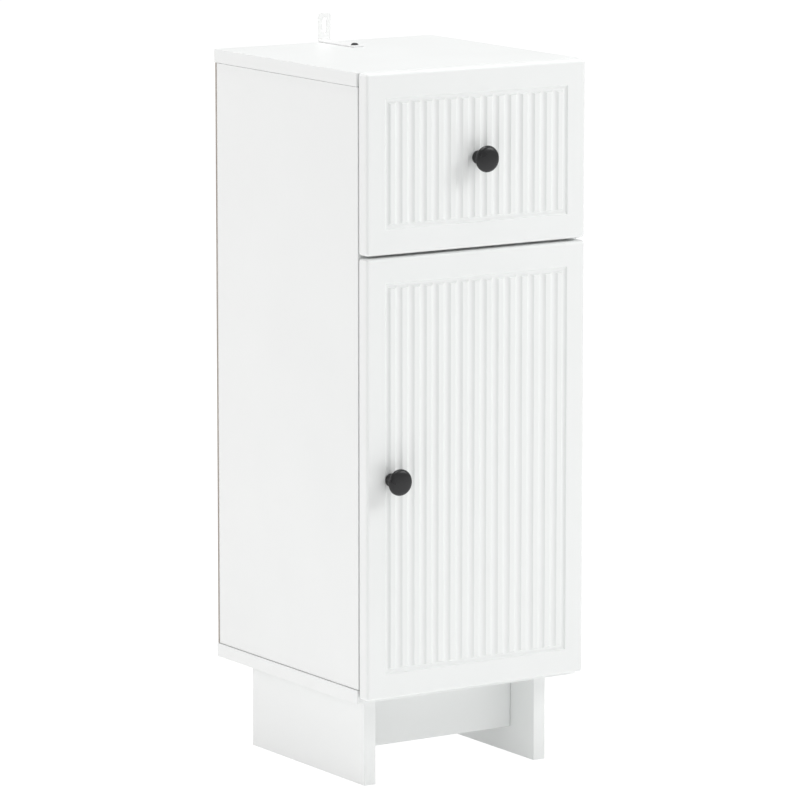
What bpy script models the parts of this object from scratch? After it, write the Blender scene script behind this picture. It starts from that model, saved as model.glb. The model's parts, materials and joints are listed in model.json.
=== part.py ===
"""Narrow bathroom cabinet: one drawer over one door, fluted fronts, board legs and a wall strap.

X runs across the cabinet, the fronts face -Y and +Z is up. The origin is on the floor, in the
middle of the width and midway between the knobs' faces and the back. Units are metres.
"""

import math

import bmesh
import bpy
from mathutils import Matrix, Vector

MM = 0.001
GAP = 0.3 * MM                     # play left between pieces that touch

# Case
BOARD = 15 * MM                    # coated particle board
CAP_WIDTH = 285 * MM               # top and bottom boards
DEPTH = 292 * MM
HEIGHT = 780 * MM                  # floor to the top surface
LEG_HEIGHT = 98 * MM
SIDE_SETBACK = 1.5 * MM            # the caps stand this far proud of the sides
BACK_THICK = 3 * MM

# Fronts
FRONT_WIDTH = 281 * MM
FRONT_THICK = 15 * MM
FRONT_AIR = 2 * MM                 # bumper gap between the fronts and the case
FRONT_SPLIT = 3 * MM               # gap between the drawer front and the door
DRAWER_FRONT_HEIGHT = 194.5 * MM
DOOR_RISE = 5.8 * MM               # door's lower edge above the underside of the case
EDGE_ROUND = 3.5 * MM
REAR_CHAMFER = 1 * MM

# Routed relief of the fronts
MARGIN_X = 23 * MM
MARGIN_Z = 26.5 * MM
BORDER_WIDTH = 7.5 * MM
BORDER_DEPTH = 2.6 * MM
FLUTES = 14
FLUTE_PITCH = 15.4 * MM
FLUTE_WIDTH = 9.3 * MM
FLUTE_DEPTH = 2 * MM
RELIEF_STEPS = 3

# Plinth
LEG_SPAN = 237 * MM                # over the outer faces of the leg boards
LEG_FRONT = 24 * MM                # behind the front of the case
LEG_DEPTH = 232 * MM
STRETCHER_SETBACK = 70 * MM
STRETCHER_HEIGHT = 68 * MM
LEG_CAMS = (84 * MM, 192 * MM)      # both behind the stretcher, from the leg boards' front edges

# Knobs
KNOB_REACH = 23.5 * MM
KNOB_RADIUS = 14.5 * MM
KNOB_BASE_RADIUS = 7.3 * MM
KNOB_NECK_RADIUS = 5 * MM
KNOB_SCREW_RADIUS = 2 * MM
DOOR_KNOB_INSET = 30 * MM          # knob centre from the door's free edge

# Inside
DIVIDER_TOP = LEG_HEIGHT + 492.5 * MM
SHELF_Z = 337 * MM
SHELF_SETBACK = 20 * MM
PIN_RADIUS = 2.5 * MM
PIN_DEPTH = 8 * MM
CAM_RADIUS = 7.5 * MM
CAM_DEPTH = 12 * MM
CAM_EDGE = 24 * MM                 # cam centre from the joint it pulls together

# Drawer and its roller slides
BOX_HALF_WIDTH = 113.3 * MM
BOX_BOARD = 12 * MM
BOX_BOTTOM = 3 * MM
BOX_BASE = 610 * MM
BOX_HEIGHT = 120 * MM
BOX_LENGTH = 250 * MM
SHEET = 1.2 * MM                   # pressed steel of the rails
RAIL_BASE = 604 * MM
RAIL_HEIGHT = 23.2 * MM
RAIL_START = 3 * MM
RAIL_LENGTH = 250 * MM
ROLLER_RADIUS = 9.5 * MM
ROLLER_WIDTH = 6.4 * MM
AXLE_RADIUS = 2 * MM
CASE_ROLLER_Y = 14 * MM
CASE_ROLLER_Z = 612.5 * MM
DRAWER_ROLLER_Y = 238 * MM
DRAWER_ROLLER_Z = 615 * MM

# Concealed hinges
CUP_RADIUS = 17.2 * MM
CUP_BORE = 17.5 * MM
CUP_CAVITY = 16 * MM
CUP_DEPTH = 11.5 * MM
CUP_INSET = 22.5 * MM              # cup centre from the door's hinge edge
AXIS_INSET = 6 * MM                # door's turning axis from its hinge edge
AXIS_DEPTH = 9 * MM                # and in front of its rear face
LINK_PIVOT_X = 5.5 * MM            # link pivot inside the side panel's face
LINK_PIVOT_Y = 1 * MM              # and in front of the case
LINK_LENGTH = 18.4 * MM
LINK_ANGLE = math.radians(-147.2)
LINK_HALF_WIDTH = 5 * MM
LINK_SHEET = 1.6 * MM
LINK_BEND = 0.7                    # how far along the link its bend lies
LINK_BOW = 4 * MM                  # and how far it bows away from the door
HINGE_FROM_END = 75 * MM

# Wall strap
STRAP_WIDTH = 16 * MM
STRAP_THICK = 1.5 * MM
STRAP_RISE = 32 * MM
STRAP_LENGTH = 72 * MM
STRAP_SLOT = (5.8 * MM, 17 * MM)
STRAP_SCREW_Y = 64 * MM            # screw centre from the rear edge

# Places that follow
FRONTS_OUT = FRONT_AIR + FRONT_THICK
CASE_Y = -(DEPTH - FRONTS_OUT - KNOB_REACH) / 2
REAR_Y = CASE_Y + DEPTH
FACE_Y = CASE_Y - FRONTS_OUT
SIDE_OUT = CAP_WIDTH / 2 - SIDE_SETBACK
SIDE_IN = SIDE_OUT - BOARD
CASE_BASE = LEG_HEIGHT
DOOR_BASE = CASE_BASE + DOOR_RISE
DRAWER_FRONT_BASE = HEIGHT - DRAWER_FRONT_HEIGHT
DOOR_TOP = DRAWER_FRONT_BASE - FRONT_SPLIT
DRAWER_KNOB = (0.0, HEIGHT - DRAWER_FRONT_HEIGHT / 2)
DOOR_KNOB = (-FRONT_WIDTH / 2 + DOOR_KNOB_INSET, (DOOR_BASE + DOOR_TOP) / 2)
HINGE_AXIS = (FRONT_WIDTH / 2 - AXIS_INSET, CASE_Y - FRONT_AIR - AXIS_DEPTH)
CUP_X = FRONT_WIDTH / 2 - CUP_INSET
HINGE_ZS = {"lower": DOOR_BASE + HINGE_FROM_END, "upper": DOOR_TOP - HINGE_FROM_END}
SIDES = {"left": -1, "right": 1}

X_AXIS = Vector((1, 0, 0))
Y_AXIS = Vector((0, 1, 0))
Z_AXIS = Vector((0, 0, 1))


def clear_scene():
    for item in list(bpy.data.objects):
        bpy.data.objects.remove(item, do_unlink=True)


def finish(name, colour, roughness, metallic=0.0):
    made = bpy.data.materials.new(name)
    made.use_nodes = True
    shader = made.node_tree.nodes["Principled BSDF"]
    shader.inputs["Base Color"].default_value = (*colour, 1.0)
    shader.inputs["Roughness"].default_value = roughness
    shader.inputs["Metallic"].default_value = metallic
    made.diffuse_color = (*colour, 1.0)
    return made


def add_box(shape, low, high):
    """Adds a box between two corners to a bmesh."""
    low, high = Vector(low), Vector(high)
    place = Matrix.Translation((low + high) / 2) @ Matrix.Diagonal((*(high - low), 1.0))
    return bmesh.ops.create_cube(shape, size=1.0, matrix=place)["verts"]


def add_cylinder(shape, start, end, radius, segments=16):
    """Adds a closed round bar between two points to a bmesh."""
    start, end = Vector(start), Vector(end)
    run = end - start
    place = Matrix.Translation((start + end) / 2) @ run.to_track_quat("Z", "Y").to_matrix().to_4x4()
    bmesh.ops.create_cone(shape, cap_ends=True, segments=segments, radius1=radius, radius2=radius,
                          depth=run.length, matrix=place)


def add_turned(shape, profile, base, axis, segments=24):
    """Turns (radius, height) points about an axis through base; the ends lie on the axis."""
    turn = axis.to_track_quat("Z", "Y").to_matrix()
    base = Vector(base)
    rings = []
    for radius, height in profile:
        if radius == 0.0:
            rings.append([shape.verts.new(base + turn @ Vector((0, 0, height)))])
            continue
        ring = []
        for step in range(segments):
            angle = math.tau * step / segments
            local = Vector((radius * math.cos(angle), radius * math.sin(angle), height))
            ring.append(shape.verts.new(base + turn @ local))
        rings.append(ring)
    for lower, upper in zip(rings, rings[1:]):
        for step in range(segments):
            after = (step + 1) % segments
            corners = [lower[step % len(lower)], lower[after % len(lower)],
                       upper[after % len(upper)], upper[step % len(upper)]]
            shape.faces.new(list(dict.fromkeys(corners)))
    bmesh.ops.recalc_face_normals(shape, faces=shape.faces)


def solid(name, shape, material, origin=(0, 0, 0), parent=None, smooth=False):
    """Makes an object from a bmesh in world places, with its own origin."""
    origin = Vector(origin)
    bmesh.ops.translate(shape, verts=shape.verts, vec=-origin)
    mesh = bpy.data.meshes.new(name)
    shape.to_mesh(mesh)
    shape.free()
    if smooth:
        mesh.shade_smooth()
        mesh.set_sharp_from_angle(angle=math.radians(35))
    mesh.materials.append(material)
    made = bpy.data.objects.new(name, mesh)
    bpy.context.scene.collection.objects.link(made)
    made.location = origin
    if parent is not None:
        made.parent = parent
        made.location = origin - parent.location
    return made


def combine(target, shape, operation="DIFFERENCE"):
    """Cuts a shape from an object, or joins it on, with a live Boolean."""
    index = len(target.modifiers)
    mesh = bpy.data.meshes.new(f"{target.name}_tool_{index}")
    shape.to_mesh(mesh)
    shape.free()
    tool = bpy.data.objects.new(mesh.name, mesh)
    bpy.context.scene.collection.objects.link(tool)
    tool.hide_render = True
    tool.display_type = "WIRE"
    modifier = target.modifiers.new(f"tool_{index}", "BOOLEAN")
    modifier.operation = operation
    modifier.object = tool
    return target


def board(name, low, high, material, parent=None, edge=0.4 * MM):
    """A flat board between two corners, with its edges eased."""
    shape = bmesh.new()
    add_box(shape, low, high)
    if edge:
        bmesh.ops.bevel(shape, geom=shape.edges, offset=edge, segments=1, affect="EDGES")
    return solid(name, shape, material, (Vector(low) + Vector(high)) / 2, parent)


def empty(name, place):
    made = bpy.data.objects.new(name, None)
    made.location = place
    bpy.context.scene.collection.objects.link(made)
    return made


def bore_shape(bars, segments=16):
    """A bmesh of separate round bars, given as (start, end, radius)."""
    shape = bmesh.new()
    for start, end, radius in bars:
        add_cylinder(shape, start, end, radius, segments)
    return shape


# ---------------------------------------------------------------- case

def cam_places():
    """(side sign, y, z) of each cam lock in the side panels."""
    ys = (CASE_Y + 45 * MM, REAR_Y - 48 * MM)
    zs = (CASE_BASE + BOARD + CAM_EDGE, HEIGHT - BOARD - CAM_EDGE)
    return [(sign, y, z) for sign in SIDES.values() for y in ys for z in zs]


def pin_places(sign):
    """World places where a side panel's shelf pins leave its inner face."""
    z = SHELF_Z - PIN_RADIUS - GAP
    return [Vector((sign * SIDE_IN, y, z)) for y in (CASE_Y + 50 * MM, REAR_Y - 47 * MM)]


def make_case(white, hardboard, steel):
    half = CAP_WIDTH / 2
    caps = {"top_panel": HEIGHT - BOARD, "bottom_panel": CASE_BASE}
    for name, base in caps.items():
        panel = board(name, (-half, CASE_Y, base), (half, REAR_Y, base + BOARD), white)
        if name == "top_panel":
            screw = Vector((0, REAR_Y - STRAP_SCREW_Y, HEIGHT))
            combine(panel, bore_shape([(screw + Z_AXIS * MM, screw - 11 * MM * Z_AXIS, 2 * MM)], 12))

    low, high = CASE_BASE + BOARD + GAP, HEIGHT - BOARD - GAP
    side_rear = REAR_Y - BACK_THICK - GAP
    for side, sign in SIDES.items():
        inner, outer = sorted((sign * SIDE_IN, sign * SIDE_OUT))
        panel = board(f"side_panel_{side}", (inner, CASE_Y, low), (outer, side_rear, high), white)
        bores = []
        for pin in pin_places(sign):
            bores.append((pin - sign * MM * X_AXIS, pin + sign * (PIN_DEPTH + GAP) * X_AXIS,
                          PIN_RADIUS + GAP))
        for cam_sign, y, z in cam_places():
            if cam_sign == sign:
                face = Vector((sign * SIDE_IN, y, z))
                bores.append((face - sign * MM * X_AXIS, face + sign * (CAM_DEPTH + GAP) * X_AXIS,
                              CAM_RADIUS + GAP))
        combine(panel, bore_shape(bores))

    board("back_panel", (-SIDE_OUT, REAR_Y - BACK_THICK, low), (SIDE_OUT, REAR_Y, high), hardboard,
          edge=0)
    reach = SIDE_IN - GAP
    board("drawer_divider", (-reach, CASE_Y, DIVIDER_TOP - BOARD), (reach, side_rear, DIVIDER_TOP),
          white)
    board("shelf", (-reach, CASE_Y + SHELF_SETBACK, SHELF_Z), (reach, side_rear, SHELF_Z + BOARD),
          white)
    for side, sign in SIDES.items():
        for end, pin in zip(("front", "rear"), pin_places(sign)):
            shape = bore_shape([(pin + sign * PIN_DEPTH * X_AXIS, pin - sign * 7 * MM * X_AXIS,
                                 PIN_RADIUS)], 14)
            solid(f"shelf_pin_{end}_{side}", shape, steel, pin, smooth=True)


def make_cams(zinc):
    names = [f"{side}_{end}_{level}" for side in SIDES for end in ("front", "rear")
             for level in ("bottom", "top")]
    for name, (sign, y, z) in zip(names, cam_places()):
        face = Vector((sign * (SIDE_IN + 0.2 * MM), y, z))
        shape = bore_shape([(face, face + sign * (CAM_DEPTH - GAP) * X_AXIS, CAM_RADIUS)])
        solid(f"cam_lock_{name}", shape, zinc, face, smooth=True)


def make_plinth(white, zinc):
    top = CASE_BASE - GAP
    front = CASE_Y + LEG_FRONT
    for side, sign in SIDES.items():
        inner, outer = sorted((sign * (LEG_SPAN / 2 - BOARD), sign * LEG_SPAN / 2))
        leg = board(f"leg_board_{side}", (inner, front, 0), (outer, front + LEG_DEPTH, top), white)
        bores = []
        for end, y in (("front", front + LEG_CAMS[0]), ("rear", front + LEG_CAMS[1])):
            face = Vector((sign * (LEG_SPAN / 2 - BOARD), y, top - CAM_EDGE))
            bores.append((face - sign * MM * X_AXIS, face + sign * (CAM_DEPTH + GAP) * X_AXIS,
                          CAM_RADIUS + GAP))
            disc = bore_shape([(face + sign * 0.2 * MM * X_AXIS, face + sign * CAM_DEPTH * X_AXIS,
                                CAM_RADIUS)])
            solid(f"leg_cam_{side}_{end}", disc, zinc, face, smooth=True)
        combine(leg, bore_shape(bores))
    reach = LEG_SPAN / 2 - BOARD - GAP
    stretcher_y = CASE_Y + STRETCHER_SETBACK
    board("plinth_stretcher", (-reach, stretcher_y, CASE_BASE - STRETCHER_HEIGHT),
          (reach, stretcher_y + BOARD, top), white)


def make_wall_strap(painted, black):
    """An L of flat steel: one leg on the top panel, one standing at the rear edge."""
    half = STRAP_WIDTH / 2
    base = HEIGHT + GAP
    shape = bmesh.new()
    add_box(shape, (-half, REAR_Y - STRAP_LENGTH, base), (half, REAR_Y, base + STRAP_THICK))
    strap = solid("wall_strap", shape, painted, (0, REAR_Y, HEIGHT))
    upright = bmesh.new()
    add_box(upright, (-half, REAR_Y - STRAP_THICK, base), (half, REAR_Y, HEIGHT + STRAP_RISE))
    combine(strap, upright, "UNION")

    width, tall = STRAP_SLOT
    slot_top = HEIGHT + STRAP_RISE - 4.5 * MM
    slot = bmesh.new()
    reach = (REAR_Y - 2 * STRAP_THICK, REAR_Y + STRAP_THICK)
    add_box(slot, (-width / 2, reach[0], slot_top - tall + width / 2),
            (width / 2, reach[1], slot_top - width / 2))
    combine(strap, slot)
    for z in (slot_top - width / 2, slot_top - tall + width / 2):
        combine(strap, bore_shape([((0, reach[0], z), (0, reach[1], z), width / 2)]))

    screw_y = REAR_Y - STRAP_SCREW_Y
    combine(strap, bore_shape([((0, screw_y, base - MM), (0, screw_y, base + 3 * MM), 2.3 * MM)], 12))
    seat = base + STRAP_THICK + GAP
    profile = [(0, seat + 2.1 * MM), (2.3 * MM, seat + 1.8 * MM), (3.8 * MM, seat + 0.9 * MM),
               (4.1 * MM, seat), (1.7 * MM, seat), (1.7 * MM, HEIGHT - 8 * MM), (0, HEIGHT - 10 * MM)]
    screw = bmesh.new()
    add_turned(screw, profile, (0, screw_y, 0), Z_AXIS, 12)
    solid("wall_strap_screw", screw, black, (0, screw_y, HEIGHT), smooth=True)


# ---------------------------------------------------------------- fluted fronts

def cove(offset, width, depth):
    """Depth of a round-bottomed groove at a distance from its middle line."""
    half = width / 2
    if abs(offset) >= half:
        return 0.0
    radius = (half * half + depth * depth) / (2 * depth)
    return math.sqrt(radius * radius - offset * offset) - (radius - depth)


def groove_lines(start, width):
    return [start + width * step / RELIEF_STEPS for step in range(RELIEF_STEPS + 1)]


def mirrored(half_lines, size):
    """Grid lines of one end and their mirror at the other, on a run centred on zero."""
    return sorted([-size / 2 + line for line in half_lines] + [size / 2 - line for line in half_lines])


def flute_starts():
    first = -((FLUTES - 1) * FLUTE_PITCH + FLUTE_WIDTH) / 2
    return [first + index * FLUTE_PITCH for index in range(FLUTES)]


def relief_depth(x, z, height, starts):
    """How far the face lies behind its flat plane at (x, z) from the front's middle."""
    inset_x = FRONT_WIDTH / 2 - abs(x)
    inset_z = height / 2 - abs(z)
    edge = 0.0
    for inset in (inset_x, inset_z):
        if inset < EDGE_ROUND:
            edge = max(edge, EDGE_ROUND - math.sqrt(EDGE_ROUND ** 2 - (EDGE_ROUND - inset) ** 2))
    middle_x = inset_x - MARGIN_X - BORDER_WIDTH / 2
    middle_z = inset_z - MARGIN_Z - BORDER_WIDTH / 2
    border = cove(min(middle_x, middle_z), BORDER_WIDTH, BORDER_DEPTH)
    flute = 0.0
    if middle_z > 0:
        flute = max(cove(x - start - FLUTE_WIDTH / 2, FLUTE_WIDTH, FLUTE_DEPTH) for start in starts)
    return max(edge, border, flute)


def fluted_shape(base, top):
    """A front panel: routed face, round front edges, chamfered rear edges."""
    height = top - base
    middle_z = (base + top) / 2
    starts = flute_starts()
    edge_lines = [0.0, EDGE_ROUND * 0.3, EDGE_ROUND]
    xs = mirrored(edge_lines + groove_lines(MARGIN_X, BORDER_WIDTH), FRONT_WIDTH)
    for start in starts:
        xs += groove_lines(start, FLUTE_WIDTH)
    xs.sort()
    zs = mirrored(edge_lines + groove_lines(MARGIN_Z, BORDER_WIDTH), height)

    shape = bmesh.new()
    grid = [[shape.verts.new((x, FACE_Y + relief_depth(x, z, height, starts), middle_z + z))
             for z in zs] for x in xs]
    for left, right in zip(grid, grid[1:]):
        for row in range(len(zs) - 1):
            shape.faces.new((left[row], right[row], right[row + 1], left[row + 1]))
    rim = ([line[0] for line in grid] + grid[-1][1:] + [line[-1] for line in reversed(grid[:-1])]
           + list(reversed(grid[0][1:-1])))
    rear_y = FACE_Y + FRONT_THICK
    lip = []
    for vertex in rim:
        lip.append(shape.verts.new((vertex.co.x, rear_y - REAR_CHAMFER, vertex.co.z)))
    for index, vertex in enumerate(rim):
        after = (index + 1) % len(rim)
        shape.faces.new((vertex, lip[index], lip[after], rim[after]))
    rear = []
    shrink_x = 1 - 2 * REAR_CHAMFER / FRONT_WIDTH
    shrink_z = 1 - 2 * REAR_CHAMFER / height
    for vertex in lip:
        z = middle_z + (vertex.co.z - middle_z) * shrink_z
        rear.append(shape.verts.new((vertex.co.x * shrink_x, rear_y, z)))
    for index in range(len(lip)):
        after = (index + 1) % len(lip)
        shape.faces.new((lip[index], rear[index], rear[after], lip[after]))
    shape.faces.new(list(reversed(rear)))
    bmesh.ops.dissolve_limit(shape, angle_limit=math.radians(0.05), verts=shape.verts, edges=shape.edges)
    bmesh.ops.recalc_face_normals(shape, faces=shape.faces)
    return shape


def knob_profile():
    reach = KNOB_REACH
    return [(0, reach), (0.45 * KNOB_RADIUS, reach - 0.4 * MM), (0.8 * KNOB_RADIUS, reach - 1.6 * MM),
            (0.96 * KNOB_RADIUS, reach - 3.2 * MM), (KNOB_RADIUS, reach - 5 * MM),
            (0.9 * KNOB_RADIUS, reach - 7 * MM), (KNOB_NECK_RADIUS + 1 * MM, reach - 9.5 * MM),
            (KNOB_NECK_RADIUS, reach - 13 * MM), (KNOB_NECK_RADIUS + 0.6 * MM, 6 * MM),
            (KNOB_BASE_RADIUS, 3 * MM), (KNOB_BASE_RADIUS, GAP), (KNOB_SCREW_RADIUS + GAP, GAP),
            (KNOB_SCREW_RADIUS + GAP, 12 * MM), (0, 12 * MM)]


def knob_screw_profile():
    """Pan-head screw from behind: head on the front's rear face, shank into the knob."""
    head = FRONT_THICK + GAP
    return [(0, -head - 2 * MM), (2.6 * MM, -head - 1.7 * MM), (4 * MM, -head - 0.5 * MM),
            (4 * MM, -head), (KNOB_SCREW_RADIUS, -head), (KNOB_SCREW_RADIUS, 10 * MM), (0, 11 * MM)]


def make_knob(front, name, x, z, black, zinc, parent):
    """Turned knob on a front, with the screw that holds it from behind."""
    face = Vector((x, FACE_Y, z))
    knob = bmesh.new()
    add_turned(knob, knob_profile(), face, -Y_AXIS)
    solid(f"{name}_knob", knob, black, face, parent, smooth=True)
    bore = bore_shape([(face - 2 * MM * Y_AXIS, face + (FRONT_THICK + 2 * MM) * Y_AXIS,
                        KNOB_SCREW_RADIUS + GAP)], 12)
    combine(front, bore)
    screw = bmesh.new()
    add_turned(screw, knob_screw_profile(), face, -Y_AXIS, 12)
    solid(f"{name}_knob_screw", screw, zinc, face, parent, smooth=True)


def make_bumpers(name, places, rubber, parent):
    """Thin round pads on a front's rear face, where it meets the case."""
    rear = FACE_Y + FRONT_THICK
    for label, (x, z) in places.items():
        shape = bore_shape([((x, rear + GAP, z), (x, rear + FRONT_AIR - GAP, z), 4 * MM)], 12)
        solid(f"{name}_bumper_{label}", shape, rubber, (x, rear, z), parent, smooth=True)


# ---------------------------------------------------------------- door and hinges

def make_door(white, black, zinc, rubber):
    axis = empty("door_axis", (*HINGE_AXIS, DOOR_BASE))
    door = solid("door_panel", fluted_shape(DOOR_BASE, DOOR_TOP), white, axis.location, axis)
    rear = FACE_Y + FRONT_THICK
    cups = [((CUP_X, rear + MM, z), (CUP_X, rear - CUP_DEPTH - GAP, z), CUP_BORE)
            for z in HINGE_ZS.values()]
    combine(door, bore_shape(cups, 32))
    make_knob(door, "door", *DOOR_KNOB, black, zinc, axis)
    edge_x = -(SIDE_IN + BOARD / 2)
    make_bumpers("door", {"lower": (edge_x, DOOR_BASE + 20 * MM), "upper": (edge_x, DOOR_TOP - 20 * MM)},
                 rubber, axis)
    for level, z in HINGE_ZS.items():
        make_hinge(level, z, zinc, axis)


def make_hinge(level, z, steel, door_axis):
    """Concealed hinge: cup in the door, arm and plate on the side panel, link between them."""
    rear = FACE_Y + FRONT_THICK
    cup_shape = bore_shape([((CUP_X, rear - CUP_DEPTH, z), (CUP_X, rear + MM, z), CUP_RADIUS)], 32)
    cup = solid(f"hinge_cup_{level}", cup_shape, steel, (CUP_X, rear, z), door_axis, smooth=True)
    wings = bmesh.new()
    add_box(wings, (CUP_X - 6 * MM, rear + GAP, z - 30 * MM), (CUP_X + 6 * MM, rear + MM, z + 30 * MM))
    combine(cup, wings, "UNION")
    cavity = bore_shape([((CUP_X, rear - CUP_DEPTH + MM, z), (CUP_X, rear + 2 * MM, z), CUP_CAVITY)], 32)
    combine(cup, cavity)

    face = SIDE_IN - GAP
    plate_shape = bmesh.new()
    add_box(plate_shape, (face - 3 * MM, CASE_Y + 24 * MM, z - 8 * MM), (face, CASE_Y + 56 * MM, z + 8 * MM))
    plate = solid(f"hinge_plate_{level}", plate_shape, steel, (face, CASE_Y + 37 * MM, z))
    ears = bmesh.new()
    add_box(ears, (face - 2 * MM, CASE_Y + 33 * MM, z - 24 * MM), (face, CASE_Y + 43 * MM, z + 24 * MM))
    combine(plate, ears, "UNION")

    pivot = Vector((SIDE_IN - LINK_PIVOT_X, CASE_Y - LINK_PIVOT_Y, z))
    arm_in = face - 11 * MM
    arm_shape = bmesh.new()
    add_box(arm_shape, (arm_in, CASE_Y + 5 * MM, z - 7 * MM),
            (face - 3 * MM - GAP, CASE_Y + 58 * MM, z + 7 * MM))
    arm = solid(f"hinge_arm_{level}", arm_shape, steel, pivot)
    for sign in (-1, 1):
        cheek = bmesh.new()
        low, high = sorted((z + sign * (LINK_HALF_WIDTH + GAP), z + sign * (LINK_HALF_WIDTH + 2 * MM)))
        add_box(cheek, (pivot.x - 3 * MM, pivot.y - 2.6 * MM, low),
                (pivot.x + 2.6 * MM, CASE_Y + 8 * MM, high))
        combine(arm, cheek, "UNION")
    pin = bore_shape([(pivot - (LINK_HALF_WIDTH + MM) * Z_AXIS, pivot + (LINK_HALF_WIDTH + MM) * Z_AXIS,
                       1.2 * MM)], 10)
    combine(arm, pin, "UNION")

    make_link(level, pivot, steel)


def make_link(level, pivot, steel):
    """Bent steel link: an eye on the arm's pin, and a free end inside the cup."""
    along = Vector((math.cos(LINK_ANGLE), math.sin(LINK_ANGLE), 0))
    bend = pivot + LINK_LENGTH * LINK_BEND * along - LINK_BOW * Z_AXIS.cross(along)
    tip = pivot + LINK_LENGTH * along
    half = LINK_HALF_WIDTH * Z_AXIS
    eye_shape = bore_shape([(pivot - half, pivot + half, 2.6 * MM)], 12)
    link = solid(f"hinge_link_{level}", eye_shape, steel, pivot)
    for start, end in ((pivot, bend), (bend, tip)):
        run = end - start
        bar = bmesh.new()
        verts = add_box(bar, (0, -LINK_SHEET / 2, -LINK_HALF_WIDTH),
                        (run.length, LINK_SHEET / 2, LINK_HALF_WIDTH))
        turn = Matrix.Rotation(math.atan2(run.y, run.x), 3, "Z")
        bmesh.ops.rotate(bar, verts=verts, cent=(0, 0, 0), matrix=turn)
        bmesh.ops.translate(bar, verts=verts, vec=start)
        combine(link, bar, "UNION")
    for place, radius in ((bend, LINK_SHEET / 2), (tip, 1.1 * MM)):
        combine(link, bore_shape([(place - half, place + half, radius)], 10), "UNION")
    eye = bore_shape([(pivot - 6 * MM * Z_AXIS, pivot + 6 * MM * Z_AXIS, 1.2 * MM + GAP)], 10)
    combine(link, eye)


# ---------------------------------------------------------------- drawer and slides

def make_drawer(white, black, zinc, rubber):
    drawer = empty("drawer_slide", (0, CASE_Y, BOX_BASE))
    front = solid("drawer_front", fluted_shape(DRAWER_FRONT_BASE, HEIGHT), white,
                  (0, FACE_Y, DRAWER_FRONT_BASE), drawer)
    make_knob(front, "drawer", *DRAWER_KNOB, black, zinc, drawer)

    start = CASE_Y - FRONT_AIR + GAP
    end = start + BOX_LENGTH
    top = BOX_BASE + BOX_HEIGHT
    groove_low = BOX_BASE + 8 * MM
    groove_high = groove_low + BOX_BOTTOM + 2 * GAP
    sink = 5 * MM
    inner = BOX_HALF_WIDTH - BOX_BOARD
    for side, sign in SIDES.items():
        low, high = sorted((sign * inner, sign * BOX_HALF_WIDTH))
        wall = board(f"drawer_side_{side}", (low, start, BOX_BASE), (high, end, top), white, drawer)
        groove = bmesh.new()
        low, high = sorted((sign * (inner - MM), sign * (inner + sink)))
        add_box(groove, (low, start - MM, groove_low), (high, end + MM, groove_high))
        combine(wall, groove)
    board("drawer_back", (-inner + GAP, end - BOX_BOARD, groove_high), (inner - GAP, end, top), white,
          drawer)
    board("drawer_bottom", (-inner - sink + GAP, start + GAP, groove_low + GAP),
          (inner + sink - GAP, end - GAP, groove_high - GAP), white, drawer, edge=0)
    edge_x = SIDE_IN + BOARD / 2
    z = DRAWER_FRONT_BASE + 30 * MM
    make_bumpers("drawer", {"left": (-edge_x, z), "right": (edge_x, z)}, rubber, drawer)
    return drawer


def make_roller(name, x, y, z, nylon, parent=None):
    half = ROLLER_WIDTH / 2
    shape = bore_shape([((x - half, y, z), (x + half, y, z), ROLLER_RADIUS)], 24)
    roller = solid(name, shape, nylon, (x, y, z), parent, smooth=True)
    return combine(roller, bore_shape([((x - 2 * half, y, z), (x + 2 * half, y, z), AXLE_RADIUS + GAP)], 12))


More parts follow.
